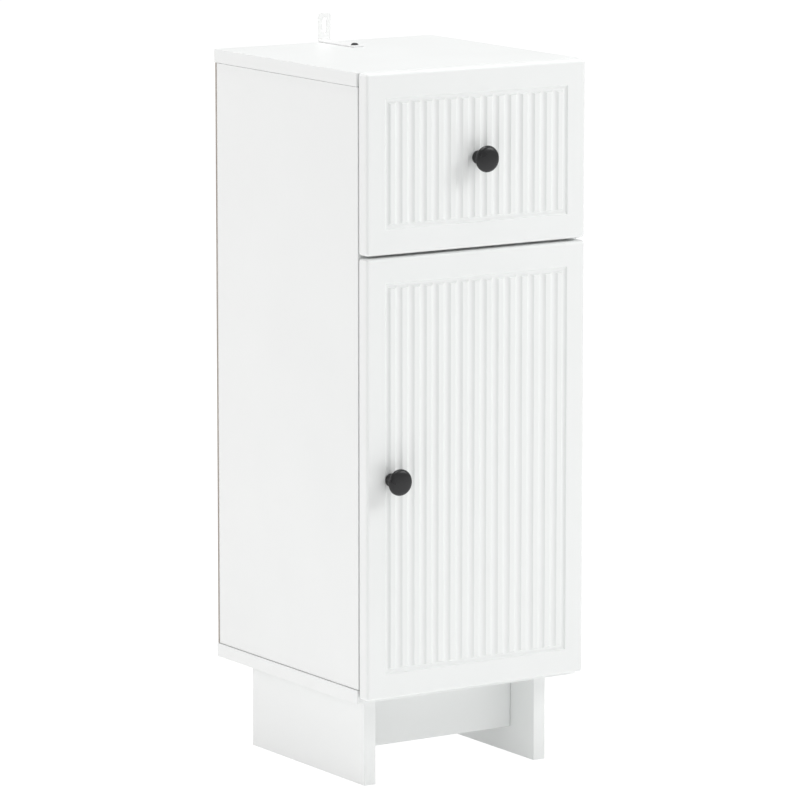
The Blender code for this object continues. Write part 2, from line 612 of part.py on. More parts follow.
def make_slides(steel, nylon, drawer):
    """Roller slides: a channel on each side panel and an angle under each drawer side."""
    roller_x = (SIDE_IN + BOX_HALF_WIDTH) / 2 + 0.55 * MM
    start = CASE_Y + RAIL_START
    end = start + RAIL_LENGTH
    for side, sign in SIDES.items():
        def span(one, two):
            return sorted((sign * one, sign * two))

        web = SIDE_IN - GAP
        low, high = span(web - SHEET, web)
        shape = bmesh.new()
        add_box(shape, (low, start, RAIL_BASE), (high, end, RAIL_BASE + RAIL_HEIGHT))
        rail = solid(f"case_rail_{side}", shape, steel, (sign * web, start, RAIL_BASE))
        for base, inner in ((RAIL_BASE, web - 9.2 * MM), (RAIL_BASE + RAIL_HEIGHT - SHEET, web - 6.5 * MM)):
            flange = bmesh.new()
            low, high = span(inner, web - SHEET / 2)
            add_box(flange, (low, start + 0.01 * MM, base), (high, end - 0.01 * MM, base + SHEET))
            combine(rail, flange, "UNION")
        y = CASE_Y + CASE_ROLLER_Y
        # The front end of the ledge is cut away so that the roller can hang in the channel.
        notch = bmesh.new()
        low, high = span(web - 12 * MM, web - SHEET)
        add_box(notch, (low, start - MM, RAIL_BASE - MM), (high, y + ROLLER_RADIUS + MM, RAIL_BASE + 3 * MM))
        combine(rail, notch)
        axle = bore_shape([((sign * (web - SHEET / 2), y, CASE_ROLLER_Z),
                            (sign * (roller_x - ROLLER_WIDTH / 2), y, CASE_ROLLER_Z), AXLE_RADIUS)], 12)
        combine(rail, axle, "UNION")
        make_roller(f"case_roller_{side}", sign * roller_x, y, CASE_ROLLER_Z, nylon)

        leaf = BOX_HALF_WIDTH + GAP
        flange_top = CASE_ROLLER_Z + ROLLER_RADIUS + GAP + SHEET
        rail_low = BOX_BASE - GAP - SHEET
        low, high = span(leaf, leaf + SHEET)
        shape = bmesh.new()
        add_box(shape, (low, start, rail_low), (high, end, flange_top))
        rail = solid(f"drawer_rail_{side}", shape, steel, (sign * leaf, start, rail_low), drawer)
        roller_y = CASE_Y + DRAWER_ROLLER_Y
        flange = bmesh.new()
        low, high = span(leaf + SHEET / 2, web - SHEET - MM)
        add_box(flange, (low, start + 0.01 * MM, flange_top - SHEET),
                (high, roller_y - ROLLER_RADIUS - 1.5 * MM, flange_top))
        combine(rail, flange, "UNION")
        foot = bmesh.new()
        low, high = span(leaf - 11 * MM, leaf + SHEET / 2)
        add_box(foot, (low, start + 0.01 * MM, rail_low), (high, end - 0.01 * MM, rail_low + SHEET))
        combine(rail, foot, "UNION")
        axle = bore_shape([((sign * (leaf + SHEET / 2), roller_y, DRAWER_ROLLER_Z),
                            (sign * (roller_x + ROLLER_WIDTH / 2), roller_y, DRAWER_ROLLER_Z),
                            AXLE_RADIUS)], 12)
        combine(rail, axle, "UNION")
        make_roller(f"drawer_roller_{side}", sign * roller_x, roller_y, DRAWER_ROLLER_Z, nylon, drawer)


clear_scene()
white_coat = finish("white_coat", (0.86, 0.87, 0.87), 0.35)
hardboard = finish("hardboard", (0.43, 0.39, 0.36), 0.7)
zinc = finish("zinc_plate", (0.72, 0.73, 0.74), 0.35, 1.0)
white_paint = finish("white_paint", (0.9, 0.9, 0.9), 0.4)
black_coat = finish("black_coat", (0.04, 0.04, 0.042), 0.38)
nylon = finish("white_nylon", (0.85, 0.85, 0.83), 0.45)
rubber = finish("clear_rubber", (0.8, 0.8, 0.8), 0.5)

make_case(white_coat, hardboard, zinc)
make_cams(zinc)
make_plinth(white_coat, zinc)
make_wall_strap(white_paint, black_coat)
make_door(white_coat, black_coat, zinc, rubber)
drawer_group = make_drawer(white_coat, black_coat, zinc, rubber)
make_slides(zinc, nylon, drawer_group)
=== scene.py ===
import json
import math

import bmesh
import bpy
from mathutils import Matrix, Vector


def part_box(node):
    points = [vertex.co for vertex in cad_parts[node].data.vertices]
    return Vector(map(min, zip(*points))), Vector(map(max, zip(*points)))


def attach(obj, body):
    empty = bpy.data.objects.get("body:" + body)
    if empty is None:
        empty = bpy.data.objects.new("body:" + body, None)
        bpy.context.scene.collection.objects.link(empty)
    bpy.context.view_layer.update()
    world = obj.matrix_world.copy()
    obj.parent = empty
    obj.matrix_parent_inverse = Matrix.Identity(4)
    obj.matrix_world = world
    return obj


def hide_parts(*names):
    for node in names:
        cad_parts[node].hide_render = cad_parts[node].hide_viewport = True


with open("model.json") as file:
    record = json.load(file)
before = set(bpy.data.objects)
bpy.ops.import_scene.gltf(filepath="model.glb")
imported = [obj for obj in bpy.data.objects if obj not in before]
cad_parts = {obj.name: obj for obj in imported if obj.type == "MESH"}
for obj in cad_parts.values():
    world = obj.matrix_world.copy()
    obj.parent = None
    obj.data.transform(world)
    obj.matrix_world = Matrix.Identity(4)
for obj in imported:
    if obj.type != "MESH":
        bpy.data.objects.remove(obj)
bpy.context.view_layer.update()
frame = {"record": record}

# ---------------------------------------------------------------- leg boards
# Two upright boards carry the cabinet. Each is 15 mm particle board in white melamine whose narrow
# sides are closed with glued plastic band; cam locks pull it up against the bottom board.
MM = 0.001
PLAY = 0.3 * MM                    # play round every fitting
BROAD_FACE = 0.95                  # least share of a broad face's normal that is along the thickness
BODY_OF = {node: body for body, nodes in frame["record"]["behaviour"]["bodies"].items()
           for node in nodes}


def settle(name):
    """Puts a new primitive's place into its mesh and names it."""
    bpy.ops.object.transform_apply(location=True, rotation=True, scale=True)
    piece = bpy.context.object
    piece.name = name
    return piece


def add_block(name, low, high):
    """A square blank between two corners."""
    low, high = Vector(map(min, low, high)), Vector(map(max, low, high))
    bpy.ops.object.select_all(action="DESELECT")
    bpy.ops.mesh.primitive_cube_add(size=1, location=(low + high) / 2, scale=high - low)
    return settle(name)


def add_bar(name, start, end, radius, sides=32):
    """A round bar between two points."""
    start, end = Vector(start), Vector(end)
    run = end - start
    bpy.ops.object.select_all(action="DESELECT")
    bpy.ops.mesh.primitive_cylinder_add(vertices=sides, radius=radius, depth=run.length,
                                        location=(start + end) / 2,
                                        rotation=run.to_track_quat("Z", "Y").to_euler())
    return settle(name)


def take(piece):
    """Makes a piece the only one that is selected."""
    bpy.ops.object.select_all(action="DESELECT")
    piece.select_set(True)
    bpy.context.view_layer.objects.active = piece


def open_mesh(piece, mode="FACE"):
    """Opens a piece in edit mode with nothing picked."""
    take(piece)
    bpy.ops.object.mode_set(mode="EDIT")
    bpy.ops.mesh.select_mode(type=mode)
    bpy.ops.mesh.select_all(action="DESELECT")


def close_mesh():
    """Goes back to object mode."""
    bpy.ops.object.mode_set(mode="OBJECT")


def pick(piece, kind, wanted):
    """Picks the open piece's faces, edges or verts that a test wants."""
    shape = bmesh.from_edit_mesh(piece.data)
    for item in getattr(shape, kind):
        if wanted(item):
            item.select_set(True)
    shape.select_flush_mode()
    bmesh.update_edit_mesh(piece.data)


def ease_edges(piece, radius, segments=3, wanted=lambda edge: True):
    """Rounds the edges that a test wants."""
    open_mesh(piece, "EDGE")
    pick(piece, "edges", wanted)
    bpy.ops.mesh.bevel(offset=radius, offset_type="OFFSET", segments=segments, profile=0.5,
                       affect="EDGES")
    close_mesh()


def apply_modifiers(piece):
    """Turns a piece's modifiers into mesh."""
    take(piece)
    for modifier in list(piece.modifiers):
        bpy.ops.object.modifier_apply(modifier=modifier.name)


def cut(piece, tools, operation="DIFFERENCE"):
    """Cuts the tools' shapes from a piece, or joins them on as the operation says."""
    for tool in tools:
        modifier = piece.modifiers.new("cut", "BOOLEAN")
        modifier.operation = operation
        modifier.object = tool
        apply_modifiers(piece)
        bpy.data.objects.remove(tool, do_unlink=True)
    return piece


def bore_for(piece, nodes, play=PLAY):
    """Bores a board for round fittings that lie along X, from its inner face."""
    bores = []
    for node in nodes:
        low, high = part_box(node)
        middle = (low + high) / 2
        radius = max(high.y - low.y, high.z - low.z) / 2 + play
        side = math.copysign(1, middle.x)
        near, far = sorted((abs(low.x), abs(high.x)))
        bores.append(add_bar("bore", (side * (near - 1.2 * MM), middle.y, middle.z),
                             (side * (far + play), middle.y, middle.z), radius))
    return cut(piece, bores)


def shade(piece, degrees=32):
    """Smooth shading that keeps flat faces flat."""
    take(piece)
    bpy.ops.object.shade_smooth_by_angle(angle=math.radians(degrees))
    weighted = piece.modifiers.new("flat_faces", "WEIGHTED_NORMAL")
    weighted.keep_sharp = True
    weighted.weight = 100
    apply_modifiers(piece)
    return piece


def two_faced(piece, main, other, wanted):
    """Gives a piece two materials: the other one on the faces that a test wants."""
    piece.data.materials.append(main)
    piece.data.materials.append(other)
    for face in piece.data.polygons:
        face.material_index = int(wanted(face))


def fit(piece, material, *nodes, body=None, slot=None):
    """Finishes a piece: its material, the body it moves with and the nodes it stands for, which it hides;
    slot is not used.
    """
    shade(piece)
    if material is not None and not piece.data.materials:
        piece.data.materials.append(material)
    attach(piece, body or BODY_OF[nodes[0]])
    if nodes:
        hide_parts(*nodes)
    return piece


def make_surface_grain():
    """Node group: fine relief, broad cloudiness and sparse specks over a surface."""
    group = bpy.data.node_groups.new("surface_grain", "ShaderNodeTree")
    for name in ("Grain Scale", "Cloud Scale", "Speck Scale"):
        group.interface.new_socket(name, in_out="INPUT", socket_type="NodeSocketFloat")
    for name in ("Relief", "Cloud", "Specks"):
        group.interface.new_socket(name, in_out="OUTPUT", socket_type="NodeSocketFloat")
    add = group.nodes.new
    link = group.links.new
    given, given_out = add("NodeGroupInput"), add("NodeGroupOutput")
    place = add("ShaderNodeTexCoord")
    grain, cloud = add("ShaderNodeTexNoise"), add("ShaderNodeTexNoise")
    specks = add("ShaderNodeTexVoronoi")
    grain.inputs["Detail"].default_value = 3
    cloud.inputs["Detail"].default_value = 5
    for node, scale in ((grain, "Grain Scale"), (cloud, "Cloud Scale"), (specks, "Speck Scale")):
        link(place.outputs["Object"], node.inputs["Vector"])
        link(given.outputs[scale], node.inputs["Scale"])
    spread = add("ShaderNodeMapRange")
    for name, value in (("From Min", 0.03), ("From Max", 0.1), ("To Min", 1), ("To Max", 0)):
        spread.inputs[name].default_value = value
    link(specks.outputs["Distance"], spread.inputs["Value"])
    link(grain.outputs["Fac"], given_out.inputs["Relief"])
    link(cloud.outputs["Fac"], given_out.inputs["Cloud"])
    link(spread.outputs["Result"], given_out.inputs["Specks"])
    return group


surface_grain = make_surface_grain()


def coating(name, tones, gloss, relief, grain_scale=900, cloud_scale=9, speck_scale=240, metallic=0.0,
            speck_tone=None):
    """A coated, moulded or plated surface: close tones, uneven gloss, fine relief and a few specks."""
    material = bpy.data.materials.new(name)
    material.use_nodes = True
    tree = material.node_tree
    add, link = tree.nodes.new, tree.links.new
    shader = tree.nodes["Principled BSDF"]
    shader.inputs["Metallic"].default_value = metallic
    grain = add("ShaderNodeGroup")
    grain.node_tree = surface_grain
    grain.inputs["Grain Scale"].default_value = grain_scale
    grain.inputs["Cloud Scale"].default_value = cloud_scale
    grain.inputs["Speck Scale"].default_value = speck_scale
    ramp = add("ShaderNodeValToRGB")
    for stop, place, tone in zip(ramp.color_ramp.elements, (0.32, 0.68), tones):
        stop.position = place
        stop.color = (*tone, 1)
    spread = add("ShaderNodeMapRange")
    for key, value in (("From Min", 0.3), ("From Max", 0.7), ("To Min", gloss[0]), ("To Max", gloss[1])):
        spread.inputs[key].default_value = value
    bump = add("ShaderNodeBump")
    bump.inputs["Strength"].default_value = relief[0]
    bump.inputs["Distance"].default_value = relief[1]
    link(grain.outputs["Cloud"], ramp.inputs["Fac"])
    link(grain.outputs["Cloud"], spread.inputs["Value"])
    link(grain.outputs["Relief"], bump.inputs["Height"])
    link(spread.outputs["Result"], shader.inputs["Roughness"])
    link(bump.outputs["Normal"], shader.inputs["Normal"])
    colour = ramp.outputs["Color"]
    if speck_tone:
        mix = add("ShaderNodeMix")
        mix.data_type = "RGBA"
        link(grain.outputs["Specks"], mix.inputs[0])
        link(colour, mix.inputs[6])
        mix.inputs[7].default_value = (*speck_tone, 1)
        colour = mix.outputs[2]
    link(colour, shader.inputs["Base Color"])
    return material


melamine = coating("white_melamine", ((0.862, 0.876, 0.869), (0.85, 0.864, 0.857)), (0.36, 0.46),
                   (0.15, 0.3 * MM))
edge_band = coating("white_edge_band", ((0.862, 0.876, 0.869), (0.852, 0.866, 0.859)), (0.28, 0.36),
                    (0.06, 0.2 * MM), grain_scale=1500)


def add_board(name, node, edge=0.7 * MM, end_play=0):
    """A board where a CAD board lies: melamine on its broad faces, band on its narrow ones.

    end_play leaves a fine joint at its top and at its bottom.
    """
    low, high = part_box(node)
    low.z += end_play
    high.z -= end_play
    size = high - low
    thin = min(range(3), key=lambda axis: size[axis])
    piece = add_block(name, low, high)
    ease_edges(piece, edge)
    two_faced(piece, melamine, edge_band, lambda face: abs(face.normal[thin]) <= BROAD_FACE)
    return piece


for side in ("left", "right"):
    leg = add_board(f"{side}_leg", f"leg_board_{side}")
    bore_for(leg, (f"leg_cam_{side}_front", f"leg_cam_{side}_rear"))
    fit(leg, None, f"leg_board_{side}")

# ---------------------------------------------------------------- cam locks
# Die-cast zinc discs, sunk in bores in the boards' inner faces. A turn with a screwdriver in the
# cross slot grips a bolt in the next board; a notch near the rim shows how far it is turned.
WELD = 0.001 * MM                  # points closer than this are one
X_AXIS, Y_AXIS, Z_AXIS = (Vector(axis) for axis in ((1, 0, 0), (0, 1, 0), (0, 0, 1)))
zinc = coating("plated_zinc", ((0.66, 0.67, 0.68), (0.56, 0.57, 0.585)), (0.3, 0.48), (0.2, 0.15 * MM),
               grain_scale=1300, cloud_scale=160, metallic=1.0, speck_scale=700,
               speck_tone=(0.4, 0.4, 0.41))


def draw_line(name, points):
    """A chain of edges, drawn by extruding one vertex from point to point."""
    points = [Vector(point) for point in points]
    bpy.ops.object.select_all(action="DESELECT")
    bpy.ops.mesh.primitive_plane_add(size=MM, location=points[0])
    piece = settle(name)
    open_mesh(piece, "VERT")
    bpy.ops.mesh.select_all(action="SELECT")
    bpy.ops.mesh.merge(type="CENTER")
    for start, end in zip(points, points[1:]):
        bpy.ops.mesh.extrude_region_move(TRANSFORM_OT_translate={"value": end - start})
    bpy.ops.mesh.select_all(action="SELECT")
    bpy.ops.mesh.remove_doubles(threshold=WELD)
    return piece


def turn_piece(name, profile, base, axis, sides=40):
    """A turned piece: (radius, height) points are drawn as a line and spun about the axis."""
    base, axis = Vector(base), Vector(axis).normalized()
    out = axis.orthogonal().normalized()
    piece = draw_line(name, [base + out * radius * MM + axis * height * MM
                             for radius, height in profile])
    bpy.ops.mesh.spin(steps=sides, angle=math.tau, center=base, axis=axis)
    bpy.ops.mesh.select_all(action="SELECT")
    bpy.ops.mesh.remove_doubles(threshold=WELD)
    bpy.ops.mesh.normals_make_consistent(inside=False)
    close_mesh()
    return piece


def cross_slot(place, axis, span, width, depth):
    """Two crossed blades that cut a screwdriver slot, flush at place and going against axis."""
    axis = Vector(axis).normalized()
    across = axis.orthogonal().normalized()
    blades = []
    for way in (across, axis.cross(across)):
        other = axis.cross(way)
        half = way * span / 2 + other * width / 2
        blades.append(add_block("blade", Vector(place) - half + axis * depth,
                                Vector(place) + half - axis * depth))
    return blades


def inner_end(node):
    """The inner end of a fitting that lies along X, and the side that it is on."""
    low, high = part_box(node)
    middle = (low + high) / 2
    side = math.copysign(1, middle.x)
    return Vector((side * min(abs(low.x), abs(high.x)), middle.y, middle.z)), side


def cam_disc(name, face, side):
    """One cam disc; side is the way from the board's face into the board."""
    axis = -side * X_AXIS
    profile = ((0, -11.6), (7.1, -11.6), (7.4, -11.3), (7.4, -3.4), (6.7, -3.2), (6.7, -1.7),
               (7.4, -1.5), (7.4, -0.4), (7.2, -0.1), (6.0, -0.1), (5.8, -0.5), (0, -0.5))
    disc = turn_piece(name, profile, face, axis)
    cut(disc, cross_slot(face, axis, 7.4 * MM, 1.5 * MM, 3 * MM))
    mark = add_block("mark", face + Vector((-1, -0.5, 6.1)) * MM, face + Vector((1, 0.5, 7)) * MM)
    return cut(disc, [mark])


for node in [name for name in BODY_OF if name.startswith(("cam_lock", "leg_cam"))]:
    face, side = inner_end(node)
    fit(cam_disc(node.replace("cam", "cam_disc"), face, side), zinc, node)

# ---------------------------------------------------------------- stretcher and case boards
# The same coated board throughout. The stretcher ties the legs; bottom and top board cover the
# sides' ends and stand 1.5 mm proud of them; divider and shelf lie between the sides.
SIDE_FITTINGS = ("cam_lock_{0}_front_bottom", "cam_lock_{0}_front_top", "cam_lock_{0}_rear_bottom",
                 "cam_lock_{0}_rear_top", "shelf_pin_front_{0}", "shelf_pin_rear_{0}")
for name, node in (("leg_stretcher", "plinth_stretcher"), ("bottom_board", "bottom_panel"),
                   ("divider_board", "drawer_divider"), ("shelf_board", "shelf")):
    fit(add_board(name, node), None, node)
for side in ("left", "right"):
    panel = add_board(f"{side}_side", f"side_panel_{side}", edge=0.5 * MM, end_play=0.25 * MM)
    bore_for(panel, [fitting.format(side) for fitting in SIDE_FITTINGS])
    fit(panel, None, f"side_panel_{side}")

PILOT_DEPTH = 11 * MM              # the wall strap's screw goes into this hole
top_board = add_board("top_board", "top_panel")
screw_low, screw_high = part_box("wall_strap_screw")
strap_screw_y = (screw_low.y + screw_high.y) / 2
top_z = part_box("top_panel")[1].z
cut(top_board, [add_bar("pilot", (0, strap_screw_y, top_z + MM),
                        (0, strap_screw_y, top_z - PILOT_DEPTH), 2 * MM)])
fit(top_board, None, "top_panel")

# ---------------------------------------------------------------- back panel
# A 3 mm hardboard sheet, lacquered white inside and bare brown fibre outside and on its raw edge,
# fixed to the rear edges of the boards with small domed nails.
SHEET_FACE = 0.9                   # least share of the lacquered face's normal that is square on
NAIL_INSET = 7.5 * MM
NAIL_ROWS = 7                      # nails down each side
DIVIDER_NAILS = (-60 * MM, 0, 60 * MM)   # nails across, into the divider

low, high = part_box("back_panel")
back = add_block("back_sheet", low, high)
ease_edges(back, 0.25 * MM, 2)
hardboard = coating("bare_hardboard", ((0.385, 0.337, 0.297), (0.33, 0.285, 0.249)), (0.72, 0.86),
                    (0.5, 0.35 * MM), grain_scale=620, cloud_scale=95, speck_scale=330,
                    speck_tone=(0.165, 0.1425, 0.1245))
lacquer = coating("lacquered_hardboard", ((0.83, 0.84, 0.835), (0.8, 0.812, 0.807)), (0.42, 0.55),
                  (0.2, 0.25 * MM), grain_scale=700)
two_faced(back, hardboard, lacquer, lambda face: face.normal.y < -SHEET_FACE)
fit(back, None, "back_panel")


def join_pieces(pieces, name):
    """Several meshes as one piece."""
    take(pieces[0])
    for piece in pieces:
        piece.select_set(True)
    if len(pieces) > 1:
        bpy.ops.object.join()
    pieces[0].name = name
    return pieces[0]


def copy_piece(piece, name, move):
    """A copy with its own mesh, moved by a vector."""
    take(piece)
    bpy.ops.object.duplicate()
    twin = bpy.context.object
    twin.location = move
    return settle(name)


nail = turn_piece("back_nails", ((0, 0.7), (1.1, 0.6), (1.9, 0.25), (2.0, 0), (0.7, 0), (0.7, -1.5),
                                 (0, -2)), (0, high.y, 0), Y_AXIS, 12)
nail_places = []
for step in range(NAIL_ROWS):
    z = low.z + NAIL_INSET + (high.z - low.z - 2 * NAIL_INSET) * step / (NAIL_ROWS - 1)
    nail_places += [(low.x + NAIL_INSET, z), (high.x - NAIL_INSET, z)]
nail_places += [(x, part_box("drawer_divider")[0].z + NAIL_INSET) for x in DIVIDER_NAILS]
nails = [copy_piece(nail, "nail", (x, 0, z)) for x, z in nail_places]
bpy.data.objects.remove(nail, do_unlink=True)
fit(join_pieces(nails, "back_nails"), zinc, body="cabinet", slot="zinc_plate")

# ---------------------------------------------------------------- shelf pins
# Turned steel pins, zinc plated and pushed into bores in the sides, carry the shelf. A fine groove
# marks where each leaves the board.
for node in [name for name in BODY_OF if name.startswith("shelf_pin")]:
    tip, side = inner_end(node)
    pin = turn_piece(node.replace("shelf_pin", "shelf_stud"),
                     ((0, 0), (1.7, 0.1), (2.3, 0.5), (2.5, 1.2), (2.5, 5.8), (2.2, 6.0), (2.2, 6.6),
                      (2.5, 6.8), (2.5, 14.2), (2.1, 14.9), (0, 14.9)), tip, side * X_AXIS, 28)
    fit(pin, zinc, node)

# ---------------------------------------------------------------- roller slides
# Pressed and plated steel channels. The case rail is screwed to the side and carries a nylon wheel
# at its front; the drawer rail holds the drawer side from below and has its wheel at the rear.
SHEET = 1.2 * MM
RAIL_BEND = 1.3 * MM
RAIL_LIP = 5.9 * MM                # width of the case rail's top flange
ROLLER_GROOVE = 0.5                # depth of the wheel's tread groove, mm
WHEEL_BORE = 2.3                   # radius, mm
FRONT_HOLE = 60 * MM               # screw holes, from the rail's front and rear ends
REAR_HOLE = 46 * MM
SPARE_HOLE = 78 * MM
steel = coating("pressed_steel", ((0.7, 0.71, 0.72), (0.62, 0.63, 0.645)), (0.26, 0.42), (0.12, 0.12 * MM),
                grain_scale=1100, cloud_scale=90, metallic=1.0, speck_scale=600,
                speck_tone=(0.5, 0.5, 0.51))
nylon = coating("white_nylon", ((0.8, 0.8, 0.77), (0.76, 0.76, 0.73)), (0.38, 0.5), (0.15, 0.15 * MM),
                grain_scale=1400, cloud_scale=120)


def bend_sheet(name, path, run, thickness, radius, bend_steps=4):
    """Sheet metal: a line along the middle of its section, drawn out along run, bent and thickened."""
    run = Vector(run)
    piece = draw_line(name, path)
    bpy.ops.mesh.extrude_region_move(TRANSFORM_OT_translate={"value": run})
    bpy.ops.mesh.select_all(action="DESELECT")
    bpy.ops.mesh.select_mode(type="EDGE")
    pick(piece, "edges", lambda edge: not edge.is_boundary)
    bpy.ops.mesh.bevel(offset=radius, offset_type="OFFSET", segments=bend_steps, affect="EDGES")
    close_mesh()
    wall = piece.modifiers.new("wall", "SOLIDIFY")
    wall.thickness = thickness
    wall.offset = 0
    wall.use_even_offset = True
    apply_modifiers(piece)
    open_mesh(piece)
    bpy.ops.mesh.select_all(action="SELECT")
    bpy.ops.mesh.normals_make_consistent(inside=False)
    close_mesh()
    return piece


def pan_screw(name, seat, axis, radius=3.2 * MM, rise=1.6 * MM):
    """A pan-head screw with a cross slot; axis points out of the head."""
    scale = radius / MM
    lift = rise / MM
    screw = turn_piece(name, ((0, lift), (0.55 * scale, 0.93 * lift), (0.86 * scale, 0.66 * lift),
                              (scale, 0.25 * lift), (scale, 0), (0.45 * scale, 0),
                              (0.45 * scale, -4), (0, -5)), seat, axis, 28)
    return cut(screw, cross_slot(Vector(seat) + Vector(axis).normalized() * rise, axis, 1.1 * radius,
                                 0.24 * radius, 0.75 * rise))


def add_wheel(name, node):
    """A nylon wheel with a shallow tread groove, recessed faces and a running bore."""
    low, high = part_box(node)
    middle = (low + high) / 2
    half = (high.x - low.x) / 2 / MM
    radius = (high.z - low.z) / 2 / MM
    profile = ((WHEEL_BORE, -half), (4.2, -half), (4.5, -half + 0.9), (7.2, -half + 0.9), (7.5, -half),
               (radius - 0.5, -half), (radius, -half + 0.5), (radius, -1), (radius - ROLLER_GROOVE, -0.6),
               (radius - ROLLER_GROOVE, 0.6), (radius, 1), (radius, half - 0.5), (radius - 0.5, half),
               (7.5, half), (7.2, half - 0.9), (4.5, half - 0.9), (4.2, half), (WHEEL_BORE, half),
               (WHEEL_BORE, -half))
    return fit(turn_piece(name, profile, middle, X_AXIS, 48), nylon, node)


for side, sign in (("left", -1), ("right", 1)):
    low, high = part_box(f"case_rail_{side}")
    web = sign * (max(abs(low.x), abs(high.x)) - SHEET / 2)
    ledge = sign * min(abs(low.x), abs(high.x))
    base, top = low.z + SHEET / 2, high.z - SHEET / 2
    wheel_low, wheel_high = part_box(f"case_roller_{side}")
    wheel = (wheel_low + wheel_high) / 2
    path = [(ledge, low.y, base), (web, low.y, base), (web, low.y, top),
            (web - sign * RAIL_LIP, low.y, top)]
    rail = bend_sheet(f"{side}_case_channel", path, (0, high.y - low.y, 0), SHEET, RAIL_BEND)
    inner = web - sign * SHEET / 2
    notch = add_block("notch", (ledge - sign * 2 * MM, low.y - MM, low.z - MM),
                      (inner - sign * 0.6 * MM, wheel_high.y + MM, low.z + 3 * MM))
    slots = [add_bar("hole", (web - 2 * MM, y, wheel.z), (web + 2 * MM, y, wheel.z), 2.4 * MM)
             for y in (low.y + FRONT_HOLE, high.y - SPARE_HOLE, high.y - REAR_HOLE)]
    cut(rail, [notch] + slots)
    axle = turn_piece("axle", ((0, 0.2), (2, 0.2), (2, 8.4), (0, 8.4)), (web, wheel.y, wheel.z),
                      -sign * X_AXIS, 28)
    head = turn_piece("head", ((0, 1.3), (1.7, 1.15), (2.6, 0.7), (2.9, 0), (0, 0)),
                      (wheel.x - sign * 3.4 * MM, wheel.y, wheel.z), -sign * X_AXIS, 28)
    rail = join_pieces([rail, axle, head], f"{side}_case_channel")
    fit(rail, steel, f"case_rail_{side}")
    screws = [pan_screw("rail_screw", (inner, y, wheel.z), -sign * X_AXIS, 3.1 * MM, 1.2 * MM)
              for y in (low.y + FRONT_HOLE, high.y - REAR_HOLE)]
    fit(join_pieces(screws, f"{side}_rail_screws"), zinc, body="cabinet", slot="zinc_plate")
    add_wheel(f"{side}_case_wheel", f"case_roller_{side}")

# ---------------------------------------------------------------- drawer box
# White 12 mm boards, grooved inside near their lower edge for a 3 mm sheet, which slides in before
# the front closes the box.
GROOVE_PLAY = Vector((PLAY, 20 * MM, PLAY))   # the groove runs out of the board at its front
RAIL_HOLE = 30 * MM                # hole in the drawer rail, from its front end

for name, node in (("left_drawer_wall", "drawer_side_left"), ("right_drawer_wall", "drawer_side_right"),
                   ("rear_drawer_wall", "drawer_back")):
    wall = add_board(name, node, edge=0.5 * MM)
    if node != "drawer_back":
        low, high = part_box("drawer_bottom")
        cut(wall, [add_block("groove", low - GROOVE_PLAY, high + GROOVE_PLAY)])
    fit(wall, None, node)

low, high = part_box("drawer_bottom")
tray = add_block("drawer_floor", low, high)
ease_edges(tray, 0.2 * MM, 2)
two_faced(tray, hardboard, lacquer, lambda face: face.normal.z > SHEET_FACE)
fit(tray, None, "drawer_bottom")

for side, sign in (("left", -1), ("right", 1)):
    low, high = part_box(f"drawer_rail_{side}")
    wall_low, wall_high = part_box(f"drawer_side_{side}")
    foot = sign * min(abs(low.x), abs(high.x))
    edge = sign * max(abs(low.x), abs(high.x))
    web = sign * (max(abs(wall_low.x), abs(wall_high.x)) + PLAY + SHEET / 2)
    base, top = low.z + SHEET / 2, high.z - SHEET / 2
    wheel_low, wheel_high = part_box(f"drawer_roller_{side}")
    wheel = (wheel_low + wheel_high) / 2
    path = [(foot, low.y, base), (web, low.y, base), (web, low.y, top), (edge, low.y, top)]
    rail = bend_sheet(f"{side}_drawer_angle", path, (0, high.y - low.y, 0), SHEET, RAIL_BEND)
    outer = web + sign * SHEET / 2
    cut(rail, [add_block("notch", (outer + sign * 0.6 * MM, wheel_low.y - 1.5 * MM, top - 2 * MM),
                         (edge + sign * 2 * MM, high.y + MM, high.z + MM)),
               add_bar("hole", (web - 2 * MM, low.y + RAIL_HOLE, wheel.z),
                       (web + 2 * MM, low.y + RAIL_HOLE, wheel.z), 2.2 * MM)])
    axle = turn_piece("axle", ((0, 0.2), (2, 0.2), (2, 9), (0, 9)), (web, wheel.y, wheel.z),
                      sign * X_AXIS, 28)
    rail = join_pieces([rail, axle], f"{side}_drawer_angle")
    fit(rail, steel, f"drawer_rail_{side}")
    add_wheel(f"{side}_drawer_wheel", f"drawer_roller_{side}")

# ---------------------------------------------------------------- fluted fronts
# The drawer front and the door are 15 mm fibreboard, routed with a cove border and upright flutes
# that run into it, and wrapped in one satin white foil that softens every edge.
# The door's rear face is bored for two hinge cups.
FRONT_ROUND = 3.5 * MM
REAR_ROUND = 0.4 * MM
BORDER_MARGIN_X, BORDER_MARGIN_Z = 23.6 * MM, 27.1 * MM
BORDER_WIDTH, BORDER_DEPTH = 6.3 * MM, 2.3 * MM
BORDER_LIP = 1.1 * MM              # rounding where the border meets the face
FLUTES = 14
FLUTE_PITCH = 15.4 * MM
FLUTE_WIDTH, FLUTE_DEPTH = 9.3 * MM, 2 * MM
FLUTE_LIP = 0.55 * MM              # rounding where a flute meets the face
CUTTER_HEAD = 6 * MM               # how far a cutter stands out of the face
FACE_LIFT = 0.004 * MM             # keeps the lip's first point off the face
KNOB_BORE_RADIUS = 2.3 * MM
CUP_BORE_RADIUS = 17.5 * MM

foil = coating("satin_foil", ((0.862, 0.876, 0.869), (0.852, 0.866, 0.859)), (0.4, 0.5), (0.1, 0.2 * MM),
               grain_scale=1200, cloud_scale=14)


